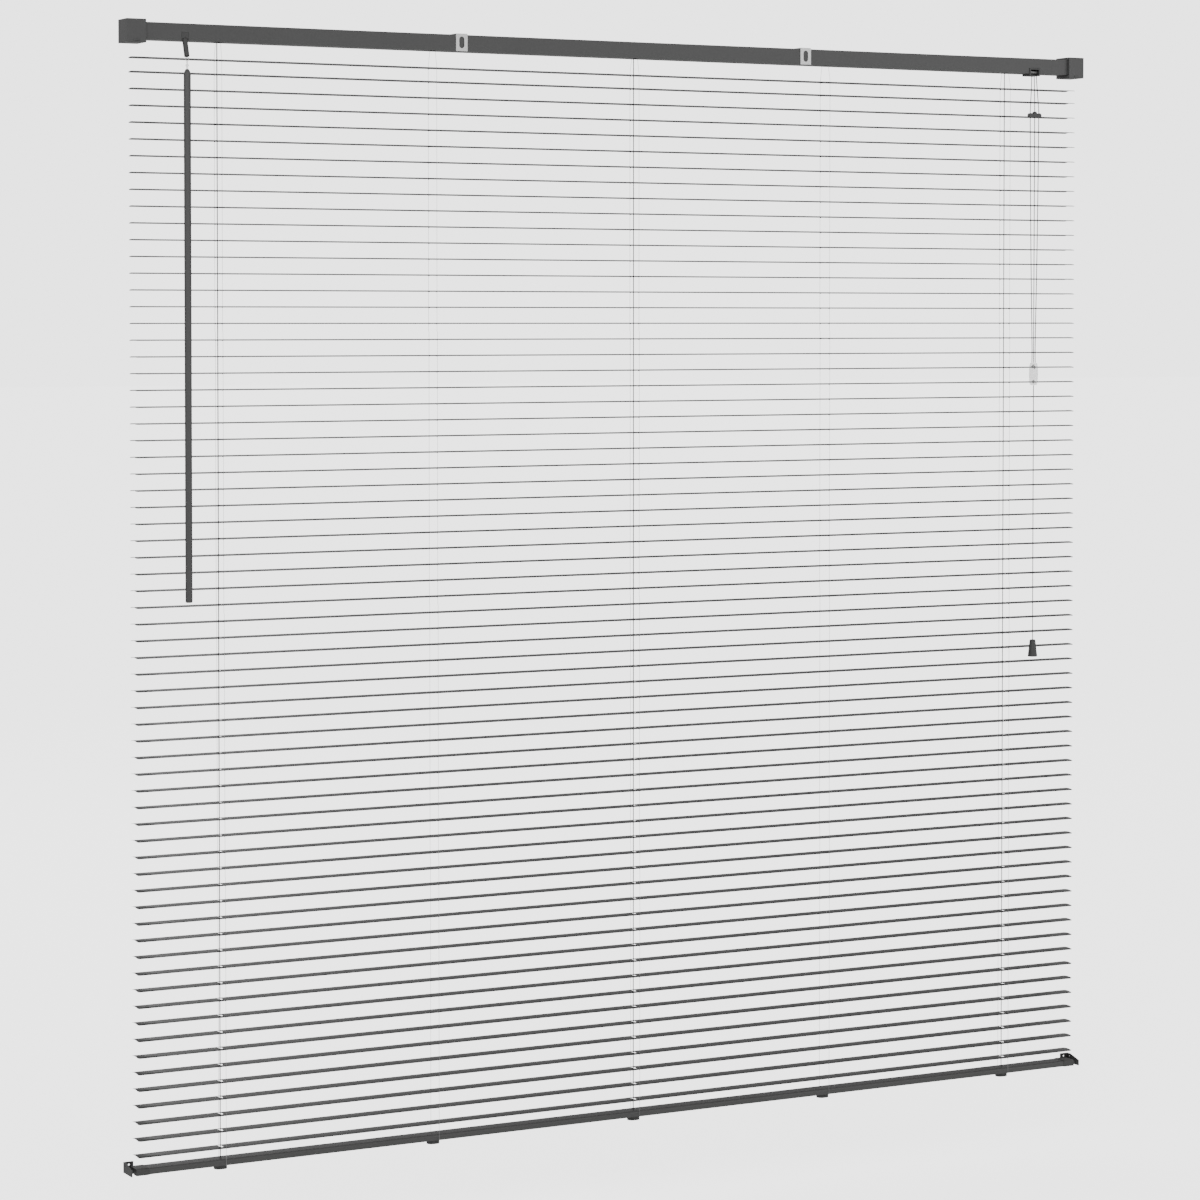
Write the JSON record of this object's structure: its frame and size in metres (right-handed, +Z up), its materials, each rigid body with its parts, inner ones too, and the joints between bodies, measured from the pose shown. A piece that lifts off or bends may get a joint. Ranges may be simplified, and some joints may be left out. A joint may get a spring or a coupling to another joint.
{
  "type": "venetian blind",
  "caption": "Wide grey venetian blind with horizontal slats, a box-bracketed headrail, a tilt wand, a pull cord with tassel and a bottom rail.",
  "frame": {"origin": "middle of the two end brackets' top plane, where the blind is fixed", "axes": "+X along the slats, +Y towards the window, +Z up"},
  "size_m": [1.5, 0.0449, 1.5055],
  "materials": {
    "rail_enamel": "satin baked enamel on steel",
    "slat_enamel": "satin baked enamel on thin aluminium",
    "grey_plastic": "moulded, satin",
    "clear_plastic": "clear moulded",
    "zinc_steel": "bright zinc plate",
    "cord": "braided polyester"
  },
  "bodies": {
    "headrail_assembly": {"headrail": "rail_enamel", "end_bracket_left": "rail_enamel", "end_bracket_right": "rail_enamel", "support_bracket_left": "zinc_steel", "support_bracket_right": "zinc_steel", "tilter_housing": "grey_plastic", "cord_lock": "grey_plastic", "lift_cord_1": "cord", "lift_cord_2": "cord", "lift_cord_3": "cord", "pull_cord_1": "cord", "pull_cord_2": "cord", "pull_cord_3": "cord", "hold_down_left": "grey_plastic", "hold_down_right": "grey_plastic", "ladder_bank_1": "cord"},
    "cover_left": {"bracket_cover_left": "rail_enamel"},
    "cover_right": {"bracket_cover_right": "rail_enamel"},
    "tilt_rod_assembly": {"tilt_rod": "zinc_steel", "worm_wheel": "grey_plastic", "ladder_drum_1": "grey_plastic", "ladder_drum_2": "grey_plastic", "ladder_drum_3": "grey_plastic", "ladder_drum_4": "grey_plastic", "ladder_drum_5": "grey_plastic"},
    "tilter_worm": {"tilter_worm": "grey_plastic"},
    "wand_hook": {"wand_hook": "clear_plastic"},
    "wand": {"wand": "rail_enamel"},
    "lock_roller": {"lock_roller": "zinc_steel"},
    "bank_2": {"ladder_bank_2": "cord"},
    "bank_3": {"ladder_bank_3": "cord"},
    "bottom_rail_assembly": {"bottom_rail": "rail_enamel", "rail_cap_left": "grey_plastic", "rail_cap_right": "grey_plastic", "ladder_plug_1": "grey_plastic", "ladder_plug_2": "grey_plastic", "ladder_plug_3": "grey_plastic", "ladder_plug_4": "grey_plastic", "ladder_plug_5": "grey_plastic", "ladder_bank_4": "cord"},
    "pull_assembly": {"cord_spreader": "grey_plastic", "cord_condenser": "clear_plastic", "tassel_cord": "cord", "tassel": "grey_plastic"},
    "slat_02": {"slat_02": "slat_enamel"},
    "slat_06": {"slat_06": "slat_enamel"},
    "slat_10": {"slat_10": "slat_enamel"},
    "slat_15": {"slat_15": "slat_enamel"},
    "slat_19": {"slat_19": "slat_enamel"},
    "slat_23": {"slat_23": "slat_enamel"},
    "slat_27": {"slat_27": "slat_enamel"},
    "slat_32": {"slat_32": "slat_enamel"},
    "slat_36": {"slat_36": "slat_enamel"},
    "slat_40": {"slat_40": "slat_enamel"},
    "slat_44": {"slat_44": "slat_enamel"},
    "slat_49": {"slat_49": "slat_enamel"},
    "slat_53": {"slat_53": "slat_enamel"},
    "slat_57": {"slat_57": "slat_enamel"},
    "slat_61": {"slat_61": "slat_enamel"},
    "slat_65": {"slat_65": "slat_enamel"}
  },
  "joints": [
    {"name": "cover_left_open", "type": "hinge", "parent": "headrail_assembly", "child": "cover_left", "pos_m": [-0.737, -0.0159, -0.0009], "axis": [-1, 0, 0], "range_deg": [0, 90]},
    {"name": "cover_right_open", "type": "hinge", "parent": "headrail_assembly", "child": "cover_right", "pos_m": [0.737, -0.0159, -0.0009], "axis": [-1, 0, 0], "range_deg": [0, 90]},
    {"name": "tilt", "type": "hinge", "parent": "headrail_assembly", "child": "tilt_rod_assembly", "pos_m": [0, 0, -0.013], "axis": [1, 0, 0], "range_deg": [0, 70]},
    {"name": "worm_turn", "type": "hinge", "parent": "headrail_assembly", "child": "tilter_worm", "pos_m": [-0.669, -0.0124, -0.0287], "axis": [0, -0.318, -0.9481], "range_deg": [0, 840]},
    {"name": "wand_swing", "type": "hinge", "parent": "headrail_assembly", "child": "wand_hook", "pos_m": [-0.669, -0.0192, -0.0502], "axis": [-1, 0, 0], "range_deg": [0, 60]},
    {"name": "wand_turn", "type": "hinge", "parent": "wand_hook", "child": "wand", "pos_m": [-0.669, -0.0192, -0.4], "axis": [0, 0, -1], "range_deg": [0, 840]},
    {"name": "lock_roller_slide", "type": "slide", "parent": "headrail_assembly", "child": "lock_roller", "axis": [0, 1, 0], "range_m": [0, 0.0025]},
    {"name": "lift", "type": "slide", "parent": "headrail_assembly", "child": "bottom_rail_assembly", "axis": [0, 0, -1], "range_m": [-1.08942, 0], "deforming": ["lift_cord_1", "lift_cord_2", "lift_cord_3", "pull_cord_1", "pull_cord_2", "pull_cord_3", "ladder_bank_1", "ladder_bank_2", "ladder_bank_3", "ladder_bank_4"]},
    {"name": "bank_2_lift", "type": "slide", "parent": "headrail_assembly", "child": "bank_2", "axis": [0, 0, -1], "range_m": [-0.36315, 0]},
    {"name": "bank_3_lift", "type": "slide", "parent": "headrail_assembly", "child": "bank_3", "axis": [0, 0, -1], "range_m": [-0.72629, 0]},
    {"name": "pull", "type": "slide", "parent": "headrail_assembly", "child": "pull_assembly", "axis": [0, 0, -1], "range_m": [0, 1.08942]},
    {"name": "slat_02_tilt", "type": "hinge", "parent": "headrail_assembly", "child": "slat_02", "pos_m": [0, 0, -0.0672], "axis": [1, 0, 0], "range_deg": [0, 70]},
    {"name": "slat_06_tilt", "type": "hinge", "parent": "headrail_assembly", "child": "slat_06", "pos_m": [0, 0, -0.15392], "axis": [1, 0, 0], "range_deg": [0, 70]},
    {"name": "slat_10_tilt", "type": "hinge", "parent": "headrail_assembly", "child": "slat_10", "pos_m": [0, 0, -0.24064], "axis": [1, 0, 0], "range_deg": [0, 70]},
    {"name": "slat_15_tilt", "type": "hinge", "parent": "headrail_assembly", "child": "slat_15", "pos_m": [0, 0, -0.34904], "axis": [1, 0, 0], "range_deg": [0, 70]},
    {"name": "slat_19_tilt", "type": "hinge", "parent": "bank_2", "child": "slat_19", "pos_m": [0, 0, -0.43576], "axis": [1, 0, 0], "range_deg": [0, 70]},
    {"name": "slat_23_tilt", "type": "hinge", "parent": "bank_2", "child": "slat_23", "pos_m": [0, 0, -0.52248], "axis": [1, 0, 0], "range_deg": [0, 70]},
    {"name": "slat_27_tilt", "type": "hinge", "parent": "bank_2", "child": "slat_27", "pos_m": [0, 0, -0.6092], "axis": [1, 0, 0], "range_deg": [0, 70]},
    {"name": "slat_32_tilt", "type": "hinge", "parent": "bank_2", "child": "slat_32", "pos_m": [0, 0, -0.7176], "axis": [1, 0, 0], "range_deg": [0, 70]},
    {"name": "slat_36_tilt", "type": "hinge", "parent": "bank_3", "child": "slat_36", "pos_m": [0, 0, -0.80432], "axis": [1, 0, 0], "range_deg": [0, 70]},
    {"name": "slat_40_tilt", "type": "hinge", "parent": "bank_3", "child": "slat_40", "pos_m": [0, 0, -0.89104], "axis": [1, 0, 0], "range_deg": [0, 70]},
    {"name": "slat_44_tilt", "type": "hinge", "parent": "bank_3", "child": "slat_44", "pos_m": [0, 0, -0.97776], "axis": [1, 0, 0], "range_deg": [0, 70]},
    {"name": "slat_49_tilt", "type": "hinge", "parent": "bank_3", "child": "slat_49", "pos_m": [0, 0, -1.08616], "axis": [1, 0, 0], "range_deg": [0, 70]},
    {"name": "slat_53_tilt", "type": "hinge", "parent": "bottom_rail_assembly", "child": "slat_53", "pos_m": [0, 0, -1.17288], "axis": [1, 0, 0], "range_deg": [0, 70]},
    {"name": "slat_57_tilt", "type": "hinge", "parent": "bottom_rail_assembly", "child": "slat_57", "pos_m": [0, 0, -1.2596], "axis": [1, 0, 0], "range_deg": [0, 70]},
    {"name": "slat_61_tilt", "type": "hinge", "parent": "bottom_rail_assembly", "child": "slat_61", "pos_m": [0, 0, -1.34632], "axis": [1, 0, 0], "range_deg": [0, 70]},
    {"name": "slat_65_tilt", "type": "hinge", "parent": "bottom_rail_assembly", "child": "slat_65", "pos_m": [0, 0, -1.43304], "axis": [1, 0, 0], "range_deg": [0, 70]}
  ],
  "couplings": [
    {"joint": "worm_turn", "follows": "tilt", "ratio": 12},
    {"joint": "wand_turn", "follows": "tilt", "ratio": 12},
    {"joint": "bank_2_lift", "follows": "lift", "ratio": 0.33333},
    {"joint": "bank_3_lift", "follows": "lift", "ratio": 0.66667},
    {"joint": "pull", "follows": "lift", "ratio": -1},
    {"joint": "slat_02_tilt", "follows": "tilt", "ratio": 1},
    {"joint": "slat_06_tilt", "follows": "tilt", "ratio": 1},
    {"joint": "slat_10_tilt", "follows": "tilt", "ratio": 1},
    {"joint": "slat_15_tilt", "follows": "tilt", "ratio": 1},
    {"joint": "slat_19_tilt", "follows": "tilt", "ratio": 1},
    {"joint": "slat_23_tilt", "follows": "tilt", "ratio": 1},
    {"joint": "slat_27_tilt", "follows": "tilt", "ratio": 1},
    {"joint": "slat_32_tilt", "follows": "tilt", "ratio": 1},
    {"joint": "slat_36_tilt", "follows": "tilt", "ratio": 1},
    {"joint": "slat_40_tilt", "follows": "tilt", "ratio": 1},
    {"joint": "slat_44_tilt", "follows": "tilt", "ratio": 1},
    {"joint": "slat_49_tilt", "follows": "tilt", "ratio": 1},
    {"joint": "slat_53_tilt", "follows": "tilt", "ratio": 1},
    {"joint": "slat_57_tilt", "follows": "tilt", "ratio": 1},
    {"joint": "slat_61_tilt", "follows": "tilt", "ratio": 1},
    {"joint": "slat_65_tilt", "follows": "tilt", "ratio": 1}
  ]
}
